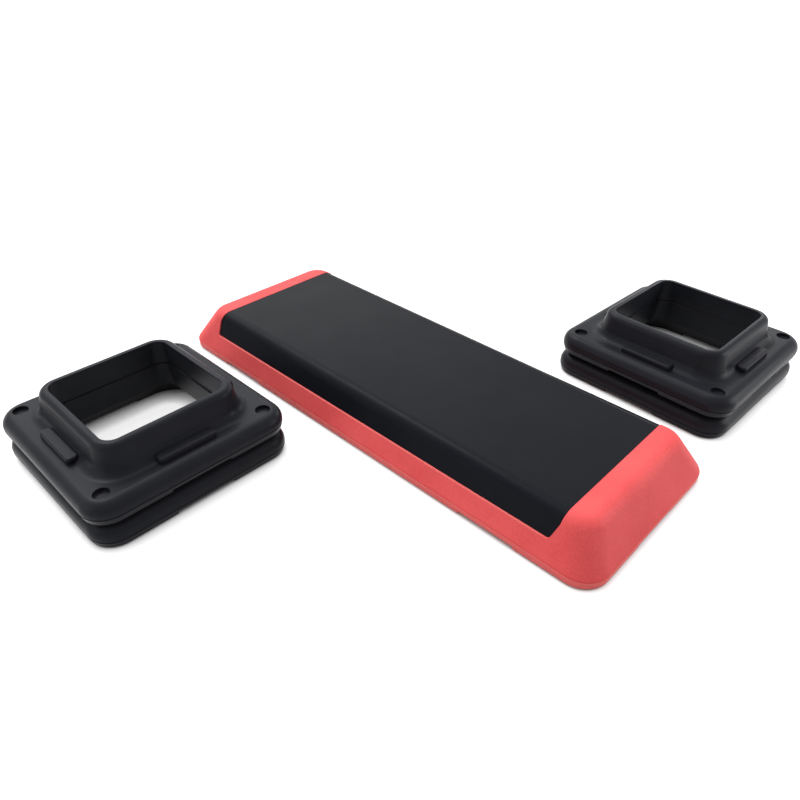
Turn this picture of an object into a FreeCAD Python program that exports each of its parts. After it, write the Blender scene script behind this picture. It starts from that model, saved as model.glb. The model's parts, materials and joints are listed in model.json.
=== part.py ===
import FreeCAD, Part
import math
import os

# Aerobic step set: a low moulded platform with a rubber mat on top, and two stacks of two
# square risers standing beside it. Sizes are millimetres, the floor is z = 0 and the platform's
# long side runs along X. The origin is under the middle of the whole set.

# Risers stack at this pitch, and each one lifts the platform by as much
riser_pitch = 50.8
riser_width = 389.6         # over the widest line
riser_corner_radius = 48.0
riser_rim_inset = 3.6       # the rim is this much further in than the widest line
riser_seam_rise = 12.8      # rim to the widest line
riser_wall = 3.2

# Flat shoulder round a riser's collar, with a round dimple at each corner
shoulder_width = 51.8       # widest line to the foot of the collar
flange_gap = 10.4           # open gap from the shoulder up to the rim of the riser above
flange_roundover = 22.0
dimple_inset = 38.2         # widest line to the middle of a dimple
dimple_diameter = 28.0
dimple_depth = 7.0
dimple_edge_radius = 1.2

# Square collar of a riser, open right through
collar_corner_radius = 22.6 # inside corner at the top
collar_draft = 3.5          # the opening widens by this much on each side lower down
collar_thickness = 15.4     # at the top
collar_lean = 12.0          # the outside of the collar spreads by this much at its foot
collar_engagement = 43.8    # how far a collar reaches up into what stands on it
collar_root_radius = 21.0
collar_outer_radius = 13.0
collar_inner_radius = 1.5

# Raised bars beside the collar, which key into the notches of what stands on the riser
bar_length = 112.0
bar_width = 23.0
bar_offset = 10.0           # foot of the collar to the middle of a bar
bar_key = 0.6               # how far a bar reaches up into a notch
bar_corner_radius = 7.0
bar_edge_radius = 4.0

# Underside of the platform and of the risers, where the collar of the riser below fits
socket_clearance = 1.2      # round the top of the collar
socket_ring = 31.2          # width of the flat ring between a riser's rim and its socket
notch_clearance = 2.0       # each end of a bar
notch_headroom = 4.9        # over a bar
notch_lead = 12.0           # how far a notch starts inside the socket's mouth

# Platform
platform_length = 1092.2    # over the widest line
platform_overhang = 10.8    # how far it reaches past a riser that stands under it
platform_height = 90.0      # rim to top
platform_seam_rise = 14.8   # rim to the widest line
platform_top_inset = 43.6   # how far the sloping walls come in at the top
platform_rim_inset = 0.8
platform_corner_radius = 49.0
platform_top_corner_radius = 42.0
platform_roundover = 33.0
platform_wall = 4.0

# Rubber mat, let into the top and the long sides of the platform
mat_end_margin = 90.1       # platform's end to the mat's end
mat_thickness = 2.5
mat_side_rise = 47.0        # rim to the lower edge of the mat
mat_side_set_in = 2.5       # the mat's side lies this far inside the wall, which leaves a ledge
mat_top_set_in = 0.3
mat_corner_radius = 6.0
mat_end_taper = 8.0         # the mat's ends come in by this much at its lower corners
mat_gap = 0.6               # open line between the mat's edge and the recess
mat_backing = 3.5           # shell left behind the recess

# Mould seam, a fine groove just above the widest line of every shell, over a sloping lip, and the
# rounding of every rim
seam_depth = 1.7
seam_height = 2.0
seam_lip = 1.3              # how far down the lip slopes from the groove to the outside
rim_edge_radius = 2.0

# Rubber feet
foot_proud = 3.0            # each foot holds the rim this far off the floor
foot_diameter = 30.0
foot_clearance = 0.3
foot_pocket = 2.0
foot_edge_radius = 1.0
stem_diameter = 8.0
stem_clearance = 0.15
stem_reach = 2.0            # how far the stem comes out inside the shell

# Layout on the floor: each stack stands off one long side of the platform, turned a little
left_gap = 79.6             # platform's side to the near side of the left stack
right_gap = 90.6
left_stack_shift = 90.5     # how far the left stack stands in from the end it serves
left_turn = -0.2            # degrees
right_turn = -2.6

platform_width = riser_width + 2 * platform_overhang
socket_pitch = platform_length - platform_width
socket_mouth_width = riser_width - 2 * (riser_rim_inset + socket_ring)
mat_length = platform_length - 2 * mat_end_margin
dimple_pitch = riser_width - 2 * dimple_inset
collar_base_width = riser_width - 2 * shoulder_width
collar_top_width = collar_base_width - 2 * collar_lean
collar_opening = collar_top_width - 2 * collar_thickness
collar_corner_centre = collar_opening / 2 - collar_corner_radius
bar_middle = collar_base_width / 2 + bar_offset
notch_length = bar_length + 2 * notch_clearance
notch_height = bar_key + notch_headroom

rim_z = foot_proud
seat_z = rim_z + collar_engagement
flange_z = rim_z + riser_pitch - flange_gap
collar_z = seat_z + riser_pitch
bar_z = rim_z + riser_pitch + bar_key
riser_seam_z = rim_z + riser_seam_rise
platform_top_z = rim_z + platform_height
platform_seam_z = rim_z + platform_seam_rise
platform_slope = math.atan(platform_top_inset / (platform_top_z - platform_seam_z))
mat_low_z = rim_z + mat_side_rise
left_distance = platform_width / 2 + left_gap + riser_width / 2
right_distance = platform_width / 2 + right_gap + riser_width / 2
beyond = 20.0               # how far cutting shapes run past the solid they cut
tolerance = 1e-3            # how near counts as touching
vector = FreeCAD.Vector


def rounded_wire(half_x, half_y, radius, z):
    """A flat rounded rectangle about the Z axis."""
    cx = half_x - radius
    cy = half_y - radius
    edges = []
    turns = ((cx, cy, 0), (-cx, cy, 90), (-cx, -cy, 180), (cx, -cy, 270))
    for i, (x, y, start) in enumerate(turns):
        arc = Part.makeCircle(radius, vector(x, y, z), vector(0, 0, 1), start, start + 90)
        end = math.radians(start + 90)
        here = vector(x + radius * math.cos(end), y + radius * math.sin(end), z)
        nx, ny, nstart = turns[(i + 1) % 4]
        begin = math.radians(nstart)
        there = vector(nx + radius * math.cos(begin), ny + radius * math.sin(begin), z)
        edges.append(arc)
        edges.append(Part.LineSegment(here, there).toShape())
    return Part.Wire(edges)


def tapered(low, high):
    """A solid between two rounded rectangles given as (half_x, half_y, radius, z)."""
    return Part.makeLoft([rounded_wire(*low), rounded_wire(*high)], True, True)


def upright(size, z_low, z_high):
    """A straight block with a rounded rectangle (half_x, half_y, radius) as its plan."""
    face = Part.Face(rounded_wire(*size, z_low))
    return face.extrude(vector(0, 0, z_high - z_low))


def square_taper(half_low, z_low, half_high, z_high):
    """A tapered square whose corners all turn about the collar's corner centres."""
    return tapered((half_low, half_low, half_low - collar_corner_centre, z_low),
                   (half_high, half_high, half_high - collar_corner_centre, z_high))


def box_between(x0, x1, y0, y1, z0, z1):
    return Part.makeBox(x1 - x0, y1 - y0, z1 - z0, vector(x0, y0, z0))


def level_edges(shape, z):
    """Every edge of the shape that lies in the level plane at z."""
    found = []
    for edge in shape.Edges:
        bounds = edge.BoundBox
        if abs(bounds.ZMin - z) < tolerance and abs(bounds.ZMax - z) < tolerance:
            found.append(edge)
    return found


def four_sides(shape):
    """The shape and its copies turned a quarter, a half and three quarters about Z."""
    copies = []
    for turn in range(4):
        copy = shape.copy()
        copy.rotate(vector(0, 0, 0), vector(0, 0, 1), 90 * turn)
        copies.append(copy)
    return copies


def corners(pitch):
    """The four corner places of a square with the given pitch."""
    half = pitch / 2
    return [(half, half), (-half, half), (-half, -half), (half, -half)]


def socket(grow):
    """The hollow that takes a collar from below, made larger by grow on every side."""
    half_seat = collar_top_width / 2 + socket_clearance
    half_mouth = socket_mouth_width / 2
    lean = (half_mouth - half_seat) / (seat_z - rim_z)
    grow_side = grow * math.sqrt(1 + lean * lean)
    top_z = seat_z + grow
    top_half = half_seat - lean * grow + grow_side
    low_z = rim_z - beyond
    low_half = half_mouth + lean * beyond + grow_side
    return square_taper(low_half, low_z, top_half, top_z)


def notch(grow, reach):
    """The notch in a rim that passes over a bar, from the socket's mouth out to reach on +X."""
    start = socket_mouth_width / 2 - notch_lead
    half = notch_length / 2 + grow
    return box_between(start - grow, reach, -half, half, rim_z - beyond, rim_z + notch_height + grow)


def foot_pocket_at(x, y, wall):
    """The pocket and stem hole that hold a foot, and the wall that must stay round them."""
    radius = foot_diameter / 2 + foot_clearance
    hole_radius = stem_diameter / 2 + stem_clearance
    pocket = Part.makeCylinder(radius, beyond + foot_pocket, vector(x, y, rim_z - beyond))
    hole = Part.makeCylinder(hole_radius, beyond + foot_pocket + wall + stem_reach,
                             vector(x, y, rim_z - beyond))
    guard = Part.makeCylinder(radius + wall, foot_pocket + wall, vector(x, y, rim_z))
    return pocket.fuse(hole), guard


def foot(wall):
    """A rubber foot: a disc under the rim and a stem that plugs into the shell."""
    disc = Part.makeCylinder(foot_diameter / 2, foot_proud + foot_pocket)
    disc = disc.makeFillet(foot_edge_radius, level_edges(disc, 0))
    stem = Part.makeCylinder(stem_diameter / 2, wall + stem_reach, vector(0, 0, foot_proud + foot_pocket))
    return disc.fuse(stem).removeSplitter()


def platform_block(side_depth, top_depth):
    """The sloping upper part of the platform, set in from the outside by the two depths."""
    shift = side_depth / math.cos(platform_slope)
    top_z = platform_top_z - top_depth
    lean = math.tan(platform_slope)
    inset = lean * (top_z - platform_seam_z) + shift
    low = (platform_length / 2 - shift, platform_width / 2 - shift,
           platform_corner_radius - shift, platform_seam_z)
    high = (platform_length / 2 - inset, platform_width / 2 - inset,
            platform_top_corner_radius - shift, top_z)
    block = tapered(low, high)
    return block.makeFillet(platform_roundover - side_depth, level_edges(block, top_z))


def platform_skirt(depth):
    """The lower band of the platform, from the rim up to the widest line."""
    low_inset = platform_rim_inset + depth
    low = (platform_length / 2 - low_inset, platform_width / 2 - low_inset,
           platform_corner_radius - low_inset, rim_z + depth)
    high = (platform_length / 2 - depth, platform_width / 2 - depth,
            platform_corner_radius - depth, platform_seam_z)
    return tapered(low, high)


def roof(side_depth, top_depth, length):
    """The platform's cross-section above the seam as a straight length, set in by the depths."""
    lean = math.tan(platform_slope)
    shift = side_depth / math.cos(platform_slope)
    top_z = platform_top_z - top_depth
    low_half = platform_width / 2 - shift
    top_half = low_half - lean * (top_z - platform_seam_z)
    right_side = [(low_half, platform_seam_z), (top_half, top_z)]
    section = right_side + [(-y, z) for y, z in reversed(right_side)]
    points = [vector(-length / 2, y, z) for y, z in section]
    face = Part.Face(Part.makePolygon(points + points[:1]))
    block = face.extrude(vector(length, 0, 0))
    long_edges = [edge for edge in level_edges(block, top_z) if edge.BoundBox.XLength > length / 2]
    return block.makeFillet(platform_roundover - side_depth, long_edges)


def mat_outline(gap):
    """A block as deep as the platform is wide, with the mat's side view as its outline."""
    half = mat_length / 2 + gap
    low_half = half - mat_end_taper
    low_z = mat_low_z - gap
    turn_z = platform_top_z - platform_roundover * (1 - math.sin(platform_slope))
    high_z = platform_top_z + beyond
    side = [(low_half, low_z), (half, turn_z), (half, high_z)]
    outline = side + [(-x, z) for x, z in reversed(side)]
    points = [vector(x, -platform_width, z) for x, z in outline]
    block = Part.Face(Part.makePolygon(points + points[:1])).extrude(vector(0, 2 * platform_width, 0))
    lower = level_edges(block, low_z)
    corners_low = [edge for edge in lower if edge.BoundBox.XLength < tolerance]
    return block.makeFillet(mat_corner_radius + gap, corners_low)


def mat_blank(outer_side, outer_top, gap):
    """The mat's sheet, grown by gap round its outline and out to the given outer depths."""
    length = mat_length + 2 * beyond
    outer = roof(outer_side, outer_top, length)
    inner = roof(mat_side_set_in + mat_thickness, mat_top_set_in + mat_thickness, length + 2 * beyond)
    return outer.cut(inner).common(mat_outline(gap))


def seam(half_x, half_y, radius, z):
    """The fine groove that a mould leaves round a shell, just above the lip at its widest line."""
    foot_z = z - 2 * seam_lip
    ring = upright((half_x + beyond, half_y + beyond, radius + beyond), foot_z, z + seam_height)
    floor = (half_x - seam_depth, half_y - seam_depth, radius - seam_depth)
    lip = tapered((half_x + seam_depth, half_y + seam_depth, radius + seam_depth, foot_z), (*floor, z))
    return ring.cut(lip).cut(upright(floor, z, z + beyond))


def build_platform_shell():
    skirt = platform_skirt(0)
    skirt = skirt.makeFillet(rim_edge_radius, level_edges(skirt, rim_z))
    shell = platform_block(0, 0).fuse(skirt)
    groove = seam(platform_length / 2, platform_width / 2, platform_corner_radius, platform_seam_z)
    shell = shell.cut(groove)
    recess = mat_blank(-beyond / 2, -beyond / 2, mat_gap)
    shell = shell.cut(recess)

    hollow = platform_block(mat_side_set_in + mat_thickness + mat_backing,
                            mat_top_set_in + mat_thickness + mat_backing)
    below_mat = box_between(-platform_length, platform_length, -platform_width, platform_width,
                            0, mat_low_z - mat_gap - platform_wall)
    hollow = hollow.fuse(platform_block(platform_wall, platform_wall).common(below_mat))
    hollow = hollow.fuse(platform_skirt(platform_wall))

    cuts = []
    guards = []
    for side in (-1, 1):
        middle = vector(side * socket_pitch / 2, 0, 0)
        open_cuts = [socket(0)]
        open_guards = [socket(platform_wall)]
        for quarter in range(4):
            faces_middle = quarter == (0 if side < 0 else 2)
            reach = socket_mouth_width / 2 + notch_lead if faces_middle else platform_width / 2 + beyond
            cut = notch(0, reach)
            guard = notch(platform_wall, reach + platform_wall)
            cut.rotate(vector(0, 0, 0), vector(0, 0, 1), quarter * 90)
            guard.rotate(vector(0, 0, 0), vector(0, 0, 1), quarter * 90)
            open_cuts.append(cut)
            open_guards.append(guard)
        for shape in open_cuts + open_guards:
            shape.translate(middle)
        cuts += open_cuts
        guards += open_guards
    for x, y in platform_foot_places():
        pocket, guard = foot_pocket_at(x, y, platform_wall)
        cuts.append(pocket)
        guards.append(guard)
    hollow = hollow.cut(guards)
    shell = shell.cut(cuts).cut(hollow)
    return shell.removeSplitter()


def platform_foot_places():
    """A foot by each corner of each socket, at the same pitch as the dimples of a riser."""
    places = []
    for side in (-1, 1):
        for x, y in corners(dimple_pitch):
            places.append((side * socket_pitch / 2 + x, y))
    return places


def build_mat():
    return mat_blank(mat_side_set_in, mat_top_set_in, 0).removeSplitter()


def riser_slab(depth):
    """The riser's square base with its rounded shoulder, set in by depth."""
    half = riser_width / 2 - depth
    radius = riser_corner_radius - depth
    rim_half = half - riser_rim_inset
    rim_radius = radius - riser_rim_inset
    band = tapered((rim_half, rim_half, rim_radius, rim_z + depth), (half, half, radius, riser_seam_z))
    if depth == 0:
        band = band.makeFillet(rim_edge_radius, level_edges(band, rim_z))
    top = upright((half, half, radius), riser_seam_z, flange_z - depth)
    top = top.makeFillet(flange_roundover - depth, level_edges(top, flange_z - depth))
    return band.fuse(top)


def riser_bar(depth):
    """One raised bar on the +X side, which keys into the notch of the riser above."""
    half_length = bar_length / 2 - depth
    half_width = bar_width / 2 - depth
    size = (half_width, half_length, bar_corner_radius - depth)
    bar = upright(size, flange_z - riser_wall - depth, bar_z - depth)
    if depth == 0:
        bar = bar.makeFillet(bar_edge_radius, level_edges(bar, bar_z))
    bar.translate(vector(bar_middle, 0, 0))
    return bar


def build_riser():
    base_half = collar_base_width / 2
    top_half = collar_top_width / 2
    collar = square_taper(base_half, flange_z, top_half, collar_z)
    collar = collar.makeFillet(collar_outer_radius, level_edges(collar, collar_z))
    body = riser_slab(0).fuse(collar).removeSplitter()
    root = []
    for edge in level_edges(body, flange_z):
        reach = max(abs(edge.BoundBox.XMax), abs(edge.BoundBox.YMax))
        if reach < base_half + tolerance and abs(edge.BoundBox.XMin) < base_half + tolerance:
            root.append(edge)
    body = body.makeFillet(collar_root_radius, root)

    half_open = collar_opening / 2
    half_seat = half_open + collar_draft
    opening = square_taper(half_seat, seat_z - beyond, half_open, collar_z)
    opening = opening.fuse(square_taper(half_open, collar_z, half_open, collar_z + beyond))
    body = body.cut(opening.removeSplitter())
    lip = []
    for edge in level_edges(body, collar_z):
        box = edge.BoundBox
        if max(abs(box.XMin), abs(box.XMax), abs(box.YMin), abs(box.YMax)) < half_open + tolerance:
            lip.append(edge)
    body = body.makeFillet(collar_inner_radius, lip)
    body = body.cut(seam(riser_width / 2, riser_width / 2, riser_corner_radius, riser_seam_z))
    body = body.fuse(four_sides(riser_bar(0)))

    # Hollow between the inner and outer walls
    lean = (base_half - top_half) / (collar_z - flange_z)
    collar_low_z = flange_z - 2 * riser_wall
    low_half = base_half + lean * 2 * riser_wall - riser_wall
    high_half = top_half + lean * riser_wall - riser_wall
    collar_hollow = square_taper(low_half, collar_low_z, high_half, collar_z - riser_wall)
    collar_hollow = collar_hollow.makeFillet(collar_outer_radius - riser_wall,
                                             level_edges(collar_hollow, collar_z - riser_wall))
    hollow = riser_slab(riser_wall).fuse(collar_hollow)
    hollow = hollow.fuse(four_sides(riser_bar(riser_wall)))
    inner_wall = square_taper(half_seat + riser_wall, rim_z, half_open + riser_wall, collar_z)
    guards = [inner_wall, socket(riser_wall)]

    cuts = [socket(0)]
    reach = riser_width / 2
    cuts += four_sides(notch(0, reach + beyond))
    guards += four_sides(notch(riser_wall, reach + beyond))
    dimple_floor_z = flange_z - dimple_depth
    dimple = Part.makeCylinder(dimple_diameter / 2, dimple_depth + beyond, vector(0, 0, dimple_floor_z))
    dimple = dimple.makeFillet(dimple_edge_radius, level_edges(dimple, dimple_floor_z))
    for x, y in corners(dimple_pitch):
        cuts.append(dimple.translated(vector(x, y, 0)))
        guards.append(Part.makeCylinder(dimple_diameter / 2 + riser_wall, dimple_depth + riser_wall,
                                        vector(x, y, dimple_floor_z - riser_wall)))
        pocket, guard = foot_pocket_at(x, y, riser_wall)
        cuts.append(pocket)
        guards.append(guard)
    hollow = hollow.cut(guards)
    body = body.cut(cuts).cut(hollow)
    return body.removeSplitter()


def turned_reach(turn):
    """How far a riser that is turned by an angle reaches from its middle, along X or Y."""
    angle = math.radians(abs(turn))
    straight = riser_width / 2 - riser_corner_radius
    return straight * (math.cos(angle) + math.sin(angle)) + riser_corner_radius


def placed(shape, x, y, z, turn):
    copy = shape.copy()
    copy.rotate(vector(0, 0, 0), vector(0, 0, 1), turn)
    copy.translate(vector(x, y, z))
    return copy


def write(shape, name):
    solids = shape.Solids
    if len(solids) != 1 or not shape.isValid():
        raise ValueError(f"{name}: {len(solids)} solids, valid {shape.isValid()}")
    solids[0].exportStep(os.path.join("parts", name + ".step"))
    box = shape.BoundBox
    litres = solids[0].Volume / 1e6
    print(f"{name}: {box.XLength:.1f} x {box.YLength:.1f} x {box.ZLength:.1f}, {litres:.3f} l,"
          f" {len(solids[0].Shells)} shell")


os.makedirs("parts", exist_ok=True)
left_reach = left_distance + turned_reach(left_turn)
right_reach = right_distance + turned_reach(right_turn)
platform_y = (left_reach - right_reach) / 2
write(placed(build_platform_shell(), 0, platform_y, 0, 0), "platform_shell")
write(placed(build_mat(), 0, platform_y, 0, 0), "platform_mat")
platform_foot = foot(platform_wall)
for number, (x, y) in enumerate(platform_foot_places(), 1):
    write(placed(platform_foot, x, platform_y + y, 0, 0), f"platform_foot_{number}")

riser = build_riser()
riser_foot = foot(riser_wall)
stacks = (("left", left_stack_shift - socket_pitch / 2, platform_y - left_distance, left_turn),
          ("right", socket_pitch / 2, platform_y + right_distance, right_turn))
for side, x, y, turn in stacks:
    for level, z in (("lower", 0), ("upper", riser_pitch)):
        write(placed(riser, x, y, z, turn), f"{side}_{level}_riser")
        for number, (u, v) in enumerate(corners(dimple_pitch), 1):
            place = placed(riser_foot, u, v, 0, 0)
            write(placed(place, x, y, z, turn), f"{side}_{level}_foot_{number}")
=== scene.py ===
# %% [markdown]
# # An aerobic step with two stacks of risers
# The set lies on a white studio floor: a low coral platform with a black rubber mat, and on
# each side of it two black square risers, one on the other. The solids come from the packed
# CAD model, so they are loaded first and stay where they are. The lesson gives them light,
# a camera and finishes, and makes the small rubber feet again with more detail.

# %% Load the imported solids
import json
import math

import bmesh
import bpy
from mathutils import Matrix, Vector


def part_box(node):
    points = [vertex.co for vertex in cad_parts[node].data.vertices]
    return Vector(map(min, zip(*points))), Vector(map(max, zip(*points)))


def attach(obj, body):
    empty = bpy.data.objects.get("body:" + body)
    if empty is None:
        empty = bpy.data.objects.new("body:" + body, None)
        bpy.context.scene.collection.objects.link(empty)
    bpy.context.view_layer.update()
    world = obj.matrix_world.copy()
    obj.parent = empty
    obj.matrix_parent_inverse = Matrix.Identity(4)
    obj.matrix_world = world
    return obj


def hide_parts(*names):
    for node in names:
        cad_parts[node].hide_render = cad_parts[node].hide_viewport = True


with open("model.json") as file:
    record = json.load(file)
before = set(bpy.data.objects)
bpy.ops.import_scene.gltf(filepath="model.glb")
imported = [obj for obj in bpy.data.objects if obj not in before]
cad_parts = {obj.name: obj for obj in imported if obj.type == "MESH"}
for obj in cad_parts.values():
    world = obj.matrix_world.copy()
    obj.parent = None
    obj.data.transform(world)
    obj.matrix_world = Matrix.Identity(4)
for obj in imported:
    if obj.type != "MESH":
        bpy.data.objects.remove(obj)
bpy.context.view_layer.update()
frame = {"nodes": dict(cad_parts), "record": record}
scene = bpy.context.scene

# %% [markdown]
# ## Camera
# The picture looks down at the set from beside the platform's near corner, from about the
# height of a table. The camera could be placed by eye, but its place, turn, tilt and focal
# length were worked out from the corners of the set, so the render lines up with the picture.

# %% Camera
CAMERA_PLACE = Vector((0.7815, -0.8881, 0.8415))
CAMERA_YAW = math.radians(-43.354)
CAMERA_PITCH = math.radians(35.726)
CAMERA_ROLL = math.radians(0.632)
FOCAL_LENGTH = 30.43          # in millimetres, as the sensor is
SENSOR_WIDTH = 36
NEAREST_SEEN = 0.02

forward = Vector((math.sin(CAMERA_YAW) * math.cos(CAMERA_PITCH),
                  math.cos(CAMERA_YAW) * math.cos(CAMERA_PITCH),
                  -math.sin(CAMERA_PITCH)))
level_right = Vector((math.cos(CAMERA_YAW), -math.sin(CAMERA_YAW), 0))
level_up = level_right.cross(forward)
camera_x = math.cos(CAMERA_ROLL) * level_right + math.sin(CAMERA_ROLL) * level_up
camera_y = math.cos(CAMERA_ROLL) * level_up - math.sin(CAMERA_ROLL) * level_right
camera_turn = Matrix((camera_x, camera_y, -forward)).transposed().to_4x4()

camera_data = bpy.data.cameras.new("camera")
camera_data.sensor_fit = "HORIZONTAL"
camera_data.sensor_width = SENSOR_WIDTH
camera_data.lens = FOCAL_LENGTH
camera_data.clip_start = NEAREST_SEEN
camera = bpy.data.objects.new("camera", camera_data)
camera.matrix_world = Matrix.Translation(CAMERA_PLACE) @ camera_turn
scene.collection.objects.link(camera)
scene.camera = camera
print("camera at", [round(v, 3) for v in CAMERA_PLACE])

# %% [markdown]
# ## Helpers for node materials
# Every finish below is a handful of nodes. They could be made one by one, each with its own
# links, but a few small helpers keep the cells short: one starts a material, one feeds a
# socket, one adds a node, one does arithmetic, and one stretches a part of a value's range
# over another range.

# %% Node helpers


def new_finish(name):
    """A material with a Principled shader, its node tree and its shader."""
    material = bpy.data.materials.new(name)
    material.use_nodes = True
    tree = material.node_tree
    return material, tree, tree.nodes["Principled BSDF"]


def feed(tree, socket, value):
    """Links a socket where the value is another socket, and sets it where it is plain."""
    if isinstance(value, bpy.types.NodeSocket):
        tree.links.new(value, socket)
    else:
        socket.default_value = value


def node(tree, kind, settings=None, **sockets):
    """Adds a node and feeds the named sockets, with _ for each space in a name."""
    made = tree.nodes.new("ShaderNode" + kind)
    for key, value in (settings or {}).items():
        setattr(made, key, value)
    for key, value in sockets.items():
        feed(tree, made.inputs[key.replace("_", " ")], value)
    return made


def math_of(tree, operation, *values):
    """One step of arithmetic on sockets or numbers."""
    made = node(tree, "Math", {"operation": operation})
    for socket, value in zip(made.inputs, values):
        feed(tree, socket, value)
    return made.outputs["Value"]


def stretch(tree, value, from_low, from_high, to_low, to_high):
    """Stretches a part of a value's range over another range and holds its ends."""
    made = node(tree, "MapRange", {"clamp": True}, Value=value, From_Min=from_low,
                From_Max=from_high, To_Min=to_low, To_Max=to_high)
    return made.outputs["Result"]


print("node helpers: new_finish, feed, node, math_of, stretch")

# %% [markdown]
# ## Studio floor
# The set lies on a white sheet that runs out of the picture on every side. A curved backdrop
# could hide where a small sheet ends, but one large plane needs no bend and looks the same
# from all sides. It isn't a part of the set.

# %% Studio floor
FLOOR_REACH = 30.0
CORNER_SIGNS = ((-1, -1), (1, -1), (1, 1), (-1, 1))

sheet_corners = [(x * FLOOR_REACH, y * FLOOR_REACH, 0) for x, y in CORNER_SIGNS]
floor_mesh = bpy.data.meshes.new("studio_floor")
floor_mesh.from_pydata(sheet_corners, [], [(0, 1, 2, 3)])
studio_floor = bpy.data.objects.new("studio_floor", floor_mesh)
scene.collection.objects.link(studio_floor)
print("floor", 2 * FLOOR_REACH, "m wide")

# %% [markdown]
# ## White sheet
# In the picture the open floor is plain white, and only the floor close to a piece is dark.
# Stronger lamps would make the floor white too, but they would bleach the set. So the sheet
# has a little light of its own, for camera and mirror rays alone, and an ambient occlusion
# node takes that light away where a piece stands near.

# %% White sheet
WHITE = (1, 1, 1, 1)
FLOOR_PALE = (0.63, 0.63, 0.63, 1)
FLOOR_DULL = (0.61, 0.61, 0.61, 1)
FLOOR_CLOUDS = {"Scale": 18.0, "Detail": 6.0}   # the scale counts clouds across the sheet
FLOOR_ROUGHNESS = 0.9
FLOOR_SHINE = 0.1
FLOOR_LIFT = 0.78             # the sheet's own light where nothing is near
SHADE_REACH = 0.050           # how near a piece must stand to shade that light
SHADE_SAMPLES = 8
SHADE_FULL, SHADE_NONE = 0.22, 0.72   # share of open sky at which the light is out, or full


def seen_rays(tree):
    """1 for a ray from the camera, a mirror or through glass, and 0 for one that only lights."""
    rays = node(tree, "LightPath").outputs
    camera_or_mirror = math_of(tree, "MAXIMUM", rays["Is Camera Ray"], rays["Is Glossy Ray"])
    return math_of(tree, "MAXIMUM", camera_or_mirror, rays["Is Transmission Ray"])


white_sheet, tree, shader = new_finish("white_sheet")
clouds = node(tree, "TexNoise", **FLOOR_CLOUDS)
sheet_tint = node(tree, "ValToRGB", Fac=clouds.outputs["Fac"])
sheet_tint.color_ramp.elements[0].color = FLOOR_DULL
sheet_tint.color_ramp.elements[1].color = FLOOR_PALE
open_sky = node(tree, "AmbientOcclusion", {"samples": SHADE_SAMPLES}, Distance=SHADE_REACH)
open_light = stretch(tree, open_sky.outputs["AO"], SHADE_FULL, SHADE_NONE, 0, FLOOR_LIFT)
own_light = math_of(tree, "MULTIPLY", seen_rays(tree), open_light)
feed(tree, shader.inputs["Base Color"], sheet_tint.outputs["Color"])
feed(tree, shader.inputs["Roughness"], FLOOR_ROUGHNESS)
feed(tree, shader.inputs["Specular IOR Level"], FLOOR_SHINE)
feed(tree, shader.inputs["Emission Color"], WHITE)
feed(tree, shader.inputs["Emission Strength"], own_light)
floor_mesh.materials.append(white_sheet)
print("sheet shaded within", SHADE_REACH, "m of a piece")

# %% [markdown]
# ## Studio walls
# White walls stand far off round the set and fill its shadows. They could be built as large
# boards, but the world does the same without any mesh. It is white where it is seen or
# mirrored, and gives much less light than that, so that the lamps can shape the set.

# %% Studio walls
WORLD_FILL = 0.33
WORLD_SEEN = 1.0

studio_walls = bpy.data.worlds.new("studio_walls")
studio_walls.use_nodes = True
tree = studio_walls.node_tree
wall_light = tree.nodes["Background"]
feed(tree, wall_light.inputs["Color"], WHITE)
wall_strength = stretch(tree, seen_rays(tree), 0, 1, WORLD_FILL, WORLD_SEEN)
feed(tree, wall_light.inputs["Strength"], wall_strength)
scene.world = studio_walls
scene.view_settings.view_transform = "Standard"
print("walls fill with", WORLD_FILL)

# %% [markdown]
# ## Lamps
# Soft light falls from above and from the left, so that the tops are bright and the shadows
# lie at the right of each piece. A fill from the left lets the mat's rounded edge darken
# slowly, and a narrow strip draws the pale streak along its crest. Three panels stand low
# round the set and put a sheen on the faces that mirror them. A sun lamp lights the floor
# evenly however far it runs, which an area lamp doesn't, so the light from above is made of
# suns and the panels are area lamps.

# %% Lamps
SUNS = [
    # name, direction it comes from, spread in degrees, strength
    ("overhead", (-0.54, 0.28, 0.79), 62, 1.90),
    ("left_fill", (-0.54, -0.25, 0.80), 50, 0.58),
    ("crest_strip", (-0.55, 0.06, 0.83), 15, 0.60),
]
PANELS = [
    # name, place, width, watts
    ("left_panel", (-0.5, -2.0, 0.75), 1.1, 3.5),
    ("right_panel", (1.60, 1.35, 0.70), 1.1, 13.0),
    ("back_panel", (-0.22, 2.38, 0.78), 0.8, 5.0),
]


def hang_lamp(lamp_data, place):
    """Puts a lamp in the scene, aimed at the middle of the set and unseen by the camera."""
    lamp = bpy.data.objects.new(lamp_data.name, lamp_data)
    lamp.location = place
    lamp.rotation_euler = (-Vector(place)).to_track_quat("-Z", "Y").to_euler()
    lamp.visible_camera = False
    scene.collection.objects.link(lamp)


for sun_name, comes_from, spread, strength in SUNS:
    sun = bpy.data.lights.new(sun_name, "SUN")
    sun.angle = math.radians(spread)
    sun.energy = strength
    hang_lamp(sun, comes_from)
for panel_name, place, width, watts in PANELS:
    panel = bpy.data.lights.new(panel_name, "AREA")
    panel.shape = "DISK"
    panel.size = width
    panel.energy = watts
    hang_lamp(panel, place)
print("lamps:", ", ".join(lamp[0] for lamp in SUNS + PANELS))

# %% [markdown]
# ## What moulded surfaces share
# A moulded skin is never one flat colour. Its tint is a little cloudy where the wall cooled
# unevenly, its gloss changes where hands and shoes have rubbed it, and the mould has left a
# grain in it. Pictures of plastic could be wrapped on, but noise in object space needs no
# unwrapping, never repeats and keeps its real size in metres on every piece.

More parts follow.
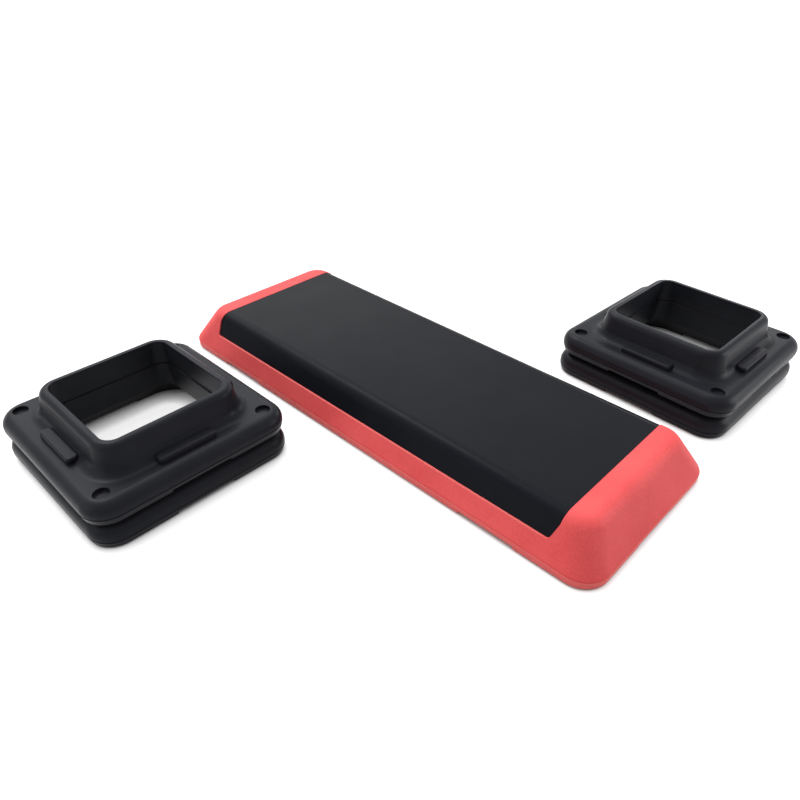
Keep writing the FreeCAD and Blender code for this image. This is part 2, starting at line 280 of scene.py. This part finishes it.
# %% Cloud, rub and grain helpers
NOISE_LOW, NOISE_HIGH = 0.3, 0.7      # noise seldom leaves this range
DEEP_STOP, PALE_STOP = 0.32, 0.68     # noise at which a tint is all deep, or all pale


def moulded_finish(name, shine):
    """A material, its node tree and shader, and each point's place on the piece in metres."""
    material, tree, shader = new_finish(name)
    feed(tree, shader.inputs["Specular IOR Level"], shine)
    return material, tree, shader, node(tree, "TexCoord").outputs["Object"]


def patches(tree, where, size, detail, squeeze=(1, 1, 1)):
    """Noise with patches of about the given size in metres, squeezed along each axis."""
    scale = [factor / size for factor in squeeze]
    place = node(tree, "Mapping", Vector=where, Scale=scale).outputs["Vector"]
    return node(tree, "TexNoise", Vector=place, Scale=1.0, Detail=detail).outputs["Fac"]


def cloudy_tint(tree, amount, deep, pale):
    """A colour that drifts between deep and pale as the noise drifts."""
    tint = node(tree, "ValToRGB", Fac=amount)
    first, last = tint.color_ramp.elements
    first.position, first.color = DEEP_STOP, deep
    last.position, last.color = PALE_STOP, pale
    return tint.outputs["Color"]


def rubbed_gloss(tree, shader, amount, shiny, dull):
    """Lets the roughness drift between a shiny and a dull value."""
    roughness = stretch(tree, amount, NOISE_LOW, NOISE_HIGH, shiny, dull)
    feed(tree, shader.inputs["Roughness"], roughness)


def raise_grain(tree, shader, *layers):
    """Adds layers of bump, each a height and its depth in metres, one on the other."""
    normal = None
    for height, depth in layers:
        bump = node(tree, "Bump", Height=height, Strength=1.0, Distance=depth)
        if normal:
            feed(tree, bump.inputs["Normal"], normal)
        normal = bump.outputs["Normal"]
    feed(tree, shader.inputs["Normal"], normal)


def give(node_name, material):
    """Puts one finish on a solid."""
    slots = frame["nodes"][node_name].data.materials
    slots.clear()
    slots.append(material)


print("noise works in metres, so a grain of 0.0016 is 1.6 mm")

# %% [markdown]
# ## Coral platform plastic
# The platform is blow-moulded polyethylene, tinted right through. Its skin is matte with the
# fine sandy grain of the mould, slightly cloudy and finely speckled. One noise could do all
# of it, but each of these has a size of its own on the real skin, so each gets its own noise.

# %% Coral platform plastic
CORAL_DEEP = (0.81, 0.092, 0.094, 1)
CORAL_PALE = (0.92, 0.122, 0.124, 1)
CORAL_SHINE = 0.15
CORAL_GLOSS = (0.52, 0.62)            # roughness where it is shiny and where it is dull
CORAL_CLOUDS = {"size": 0.11, "detail": 5.0}
CORAL_SPECKLE = {"size": 0.0030, "detail": 2.0}
SPECKLE_SHARE = 0.13                  # how far a speckle shifts the clouds
CORAL_RUBS = {"size": 0.030, "detail": 6.0}
SANDY_GRAIN = {"size": 0.0016, "detail": 3.0}
SANDY_DEPTH = 0.00006
CORAL_WAVES = {"size": 0.009, "detail": 2.0}
CORAL_WAVE_DEPTH = 0.00008

coral, tree, shader, where = moulded_finish("coral_plastic", CORAL_SHINE)
speckle = stretch(tree, patches(tree, where, **CORAL_SPECKLE), NOISE_LOW, NOISE_HIGH,
                  -SPECKLE_SHARE, SPECKLE_SHARE)
clouding = math_of(tree, "ADD", patches(tree, where, **CORAL_CLOUDS), speckle)
coral_skin = cloudy_tint(tree, clouding, CORAL_DEEP, CORAL_PALE)
rubbed_gloss(tree, shader, patches(tree, where, **CORAL_RUBS), *CORAL_GLOSS)
raise_grain(tree, shader, (patches(tree, where, **SANDY_GRAIN), SANDY_DEPTH),
            (patches(tree, where, **CORAL_WAVES), CORAL_WAVE_DEPTH))
give("platform_shell", coral)
print("coral platform with a grain of", SANDY_GRAIN["size"])

# %% [markdown]
# ## Painted highlight on the lip and rim
# The lip under the mould seam and the thin rim under the mat's long sides are painted paler
# than the walls: a painted highlight, where light catches their edges. Both are too thin to
# cut out as faces of their own, so the coral finds them by their height: a mask is 1 on the
# lip and on the rim, and fades to 0 beside them.

# %% Painted highlight on the lip and rim
# painted highlight: the pale coral stands in for light catching the lip and the rim
CORAL_PAINTED_HIGHLIGHT = (0.91, 0.165, 0.155, 1)
LIP_HEIGHT = 0.0169
LIP_FADE = 0.0008
RIM_DROP = 0.0010                     # how far the rim lies under the edge of the mat
RIM_CORE, RIM_EDGE = 0.0003, 0.0011   # half of the rim's height, without and with its fade
RIM_FADE, RIM_STOP = 0.030, 0.004     # where it fades and stops before the mat's ends

mat_low, mat_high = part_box("platform_mat")
rim_height = mat_low.z - RIM_DROP
along, _, height = node(tree, "SeparateXYZ", Vector=where).outputs
lip_highlight_mask = stretch(tree, height, LIP_HEIGHT, LIP_HEIGHT + LIP_FADE, 1, 0)
off_rim = math_of(tree, "ABSOLUTE", math_of(tree, "SUBTRACT", height, rim_height))
at_rim_height = stretch(tree, off_rim, RIM_CORE, RIM_EDGE, 1, 0)
off_middle = math_of(tree, "ABSOLUTE", along)
beside_mat = stretch(tree, off_middle, mat_high.x - RIM_FADE, mat_high.x - RIM_STOP, 1, 0)
rim_highlight_mask = math_of(tree, "MULTIPLY", at_rim_height, beside_mat)
# mask of the painted highlight, 1 on the lip or on the rim
lip_and_rim_highlight = math_of(tree, "MAXIMUM", lip_highlight_mask, rim_highlight_mask)
coral_with_highlight = node(tree, "MixRGB", Fac=lip_and_rim_highlight, Color1=coral_skin, Color2=CORAL_PAINTED_HIGHLIGHT)
feed(tree, shader.inputs["Base Color"], coral_with_highlight.outputs["Color"])
print("lip up to", LIP_HEIGHT, "and rim at", round(rim_height, 4))

# %% [markdown]
# ## Mat rubber
# The mat is a sheet of black rubber with a finely pebbled face that grips a shoe, and a soft
# sheen at a low angle. It could be plain black, but rubber is never quite even: a cloudy tint
# and a fine pattern of rounded cells in the bump give it its surface.

# %% Mat rubber
RUBBER_DEEP = (0.0070, 0.0075, 0.0105, 1)
RUBBER_PALE = (0.0090, 0.0095, 0.0128, 1)
RUBBER_SHINE = 0.04
RUBBER_GLOSS = (0.28, 0.34)
RUBBER_CLOUDS = {"size": 0.14, "detail": 5.0}
RUBBER_RUBS = {"size": 0.06, "detail": 5.0}
COOL_SHEEN = (0.92, 0.95, 1.0, 1)
PEBBLE_SIZE = 0.0016
PEBBLE_ROUNDING = 0.7
PEBBLE_DEPTH = 0.00003

mat_rubber, tree, shader, where = moulded_finish("mat_rubber", RUBBER_SHINE)
feed(tree, shader.inputs["Specular Tint"], COOL_SHEEN)
mat_tint = cloudy_tint(tree, patches(tree, where, **RUBBER_CLOUDS), RUBBER_DEEP, RUBBER_PALE)
feed(tree, shader.inputs["Base Color"], mat_tint)
rubbed_gloss(tree, shader, patches(tree, where, **RUBBER_RUBS), *RUBBER_GLOSS)
pebbles = node(tree, "TexVoronoi", {"feature": "SMOOTH_F1"}, Vector=where,
               Scale=1 / PEBBLE_SIZE, Smoothness=PEBBLE_ROUNDING)
raise_grain(tree, shader, (pebbles.outputs["Distance"], PEBBLE_DEPTH))
give("platform_mat", mat_rubber)
print("mat with pebbles of", PEBBLE_SIZE)

# %% [markdown]
# ## Riser plastic
# The risers are moulded in charcoal plastic, smoother than the platform, so their rounded
# edges carry a satin highlight. Melt that ran round the mould has left faint level bands,
# which show only in the gloss. They could be drawn one by one, but noise that is squeezed
# along the height gives them at once.

# %% Riser plastic
CHARCOAL_DEEP = (0.0150, 0.0156, 0.0198, 1)
CHARCOAL_PALE = (0.0195, 0.0202, 0.0250, 1)
CHARCOAL_SHINE = 0.07
CHARCOAL_GLOSS = (0.27, 0.35)
CHARCOAL_CLOUDS = {"size": 0.08, "detail": 5.0}
LEVEL_BANDS = {"size": 0.09, "detail": 6.0, "squeeze": (1, 1, 9)}
SATIN_GRAIN = {"size": 0.0014, "detail": 3.0}
SATIN_DEPTH = 0.00004
RISER_WAVES = {"size": 0.012, "detail": 2.0}
RISER_WAVE_DEPTH = 0.00007

charcoal, tree, shader, where = moulded_finish("riser_plastic", CHARCOAL_SHINE)
feed(tree, shader.inputs["Specular Tint"], COOL_SHEEN)
riser_clouds = patches(tree, where, **CHARCOAL_CLOUDS)
riser_tint = cloudy_tint(tree, riser_clouds, CHARCOAL_DEEP, CHARCOAL_PALE)
feed(tree, shader.inputs["Base Color"], riser_tint)
rubbed_gloss(tree, shader, patches(tree, where, **LEVEL_BANDS), *CHARCOAL_GLOSS)
raise_grain(tree, shader, (patches(tree, where, **SATIN_GRAIN), SATIN_DEPTH),
            (patches(tree, where, **RISER_WAVES), RISER_WAVE_DEPTH))
risers = [name for name in frame["nodes"] if name.endswith("_riser")]
for riser in risers:
    give(riser, charcoal)
print(len(risers), "risers")

# %% [markdown]
# ## Foot rubber
# The feet are pressed from a harder black rubber than the mat, dull all over, with a very
# fine grain. They are small, so the noises that tint and rub them are small as well: the
# mat's own finish would look like one flat colour on them.

# %% Foot rubber
FOOT_DEEP = (0.010, 0.010, 0.011, 1)
FOOT_PALE = (0.015, 0.015, 0.016, 1)
FOOT_SHINE = 0.25
FOOT_GLOSS = (0.58, 0.70)
FOOT_CLOUDS = {"size": 0.008, "detail": 4.0}
FOOT_RUBS = {"size": 0.004, "detail": 4.0}
FOOT_GRAIN = {"size": 0.0009, "detail": 2.0}
FOOT_GRAIN_DEPTH = 0.00003

foot_rubber, tree, shader, where = moulded_finish("foot_rubber", FOOT_SHINE)
foot_tint = cloudy_tint(tree, patches(tree, where, **FOOT_CLOUDS), FOOT_DEEP, FOOT_PALE)
feed(tree, shader.inputs["Base Color"], foot_tint)
rubbed_gloss(tree, shader, patches(tree, where, **FOOT_RUBS), *FOOT_GLOSS)
raise_grain(tree, shader, (patches(tree, where, **FOOT_GRAIN), FOOT_GRAIN_DEPTH))
print("foot rubber with a grain of", FOOT_GRAIN["size"])

# %% [markdown]
# ## Outline of a foot
# A foot is a disc with grip rings on its sole and a stem with a barb that holds it in the
# shell. It could be put together from cylinders, but a foot is round all over, so half of
# its outline says everything: a list of points, each with a distance from the axis and a
# height, from the middle of the sole out to the edge and up to the tip of the stem.

# %% Outline of a foot
DISC_HEIGHT = 0.0050
GROOVE_DEPTH = 0.0007
GRIP_RINGS = ((0.0030, 0.0052), (0.0066, 0.0088), (0.0102, 0.0124))   # inner and outer radius
LAST_GROOVE_INSET = 0.0018            # where the last groove ends, in from the disc's edge
SOLE_INSET, SOLE_RISE = 0.0014, 0.00015
SOLE_EDGE = 0.0010                    # radius of the sole's rounded edge
SOLE_EDGE_STEPS = 4
STEM_RADIUS, STEM_WAIST, STEM_TIP = 0.0040, 0.0034, 0.0024
BARB_START, BARB_FULL, BARB_END = 0.0022, 0.0018, 0.0012   # under the tip of the stem


def foot_outline(radius, height):
    """Half of a foot's outline, from the middle of its sole to the tip of its stem."""
    outline = [(0, GROOVE_DEPTH)]
    flank = GROOVE_DEPTH / 2
    for inner, outer in GRIP_RINGS:
        outline += [(inner - flank, GROOVE_DEPTH), (inner, 0), (outer, 0), (outer + flank, GROOVE_DEPTH)]
    outline += [(radius - LAST_GROOVE_INSET, GROOVE_DEPTH), (radius - SOLE_INSET, SOLE_RISE)]
    for step in range(SOLE_EDGE_STEPS + 1):
        turn = math.pi / 2 * step / SOLE_EDGE_STEPS
        outline.append((radius - SOLE_EDGE * (1 - math.sin(turn)), SOLE_EDGE * (1 - math.cos(turn))))
    outline += [(radius, DISC_HEIGHT - SOLE_EDGE / 2), (radius - SOLE_EDGE / 2, DISC_HEIGHT)]
    outline += [(STEM_RADIUS, DISC_HEIGHT), (STEM_WAIST, DISC_HEIGHT + SOLE_EDGE)]
    outline += [(STEM_WAIST, height - BARB_START), (STEM_RADIUS, height - BARB_FULL)]
    outline += [(STEM_RADIUS, height - BARB_END), (STEM_TIP, height), (0, height)]
    return outline


print(len(GRIP_RINGS), "grip rings on each sole")

# %% [markdown]
# ## A turned foot
# The outline is spun round the foot's axis, as on a lathe. A Screw modifier would do the
# same, but a spin in bmesh gives the final mesh straight away, so its seam can be welded and
# its corners kept sharp.

# %% A turned foot
FOOT_FACETS = 56
WELD_DISTANCE = 1e-6
SHARP_ANGLE = math.radians(35)


def turned_foot(name, radius, height):
    """A mesh made by spinning the outline round the foot's axis."""
    shape = bmesh.new()
    points = [shape.verts.new((across, 0, up)) for across, up in foot_outline(radius, height)]
    rims = [shape.edges.new(pair) for pair in zip(points, points[1:])]
    bmesh.ops.spin(shape, geom=points + rims, cent=(0, 0, 0), axis=(0, 0, 1), angle=math.tau,
                   steps=FOOT_FACETS, use_merge=True)
    bmesh.ops.remove_doubles(shape, verts=shape.verts, dist=WELD_DISTANCE)
    bmesh.ops.recalc_face_normals(shape, faces=shape.faces)
    for face in shape.faces:
        face.smooth = True
    mesh = bpy.data.meshes.new(name)
    shape.to_mesh(mesh)
    shape.free()
    mesh.set_sharp_from_angle(angle=SHARP_ANGLE)
    mesh.materials.append(foot_rubber)
    return mesh


print("a foot has", FOOT_FACETS, "facets round its axis")

# %% [markdown]
# ## Feet in their places
# Under each corner of a shell one foot is plugged in. All feet of one size could be copies
# of one object, but each stands for a solid of its own and rides on the body that carries
# it, so only the mesh is shared. Every foot stays inside the solid that it stands for.

# %% Feet in their places
SIZE_DIGITS = 4               # feet that agree to a tenth of a millimetre share a mesh

foot_meshes = {}
for body, members in frame["record"]["behaviour"]["bodies"].items():
    for member in members:
        if "_foot_" not in member:
            continue
        low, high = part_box(member)
        radius, height = (high.x - low.x) / 2, high.z - low.z
        size_key = (round(radius, SIZE_DIGITS), round(height, SIZE_DIGITS))
        if size_key not in foot_meshes:
            foot_meshes[size_key] = turned_foot("rubber_foot", radius, height)
        foot = bpy.data.objects.new("ribbed_" + member, foot_meshes[size_key])
        foot.location = ((low.x + high.x) / 2, (low.y + high.y) / 2, low.z)
        scene.collection.objects.link(foot)
        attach(foot, body)
        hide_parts(member)
        give(member, foot_rubber)
print("feet of", len(foot_meshes), "sizes:", sorted(foot_meshes))
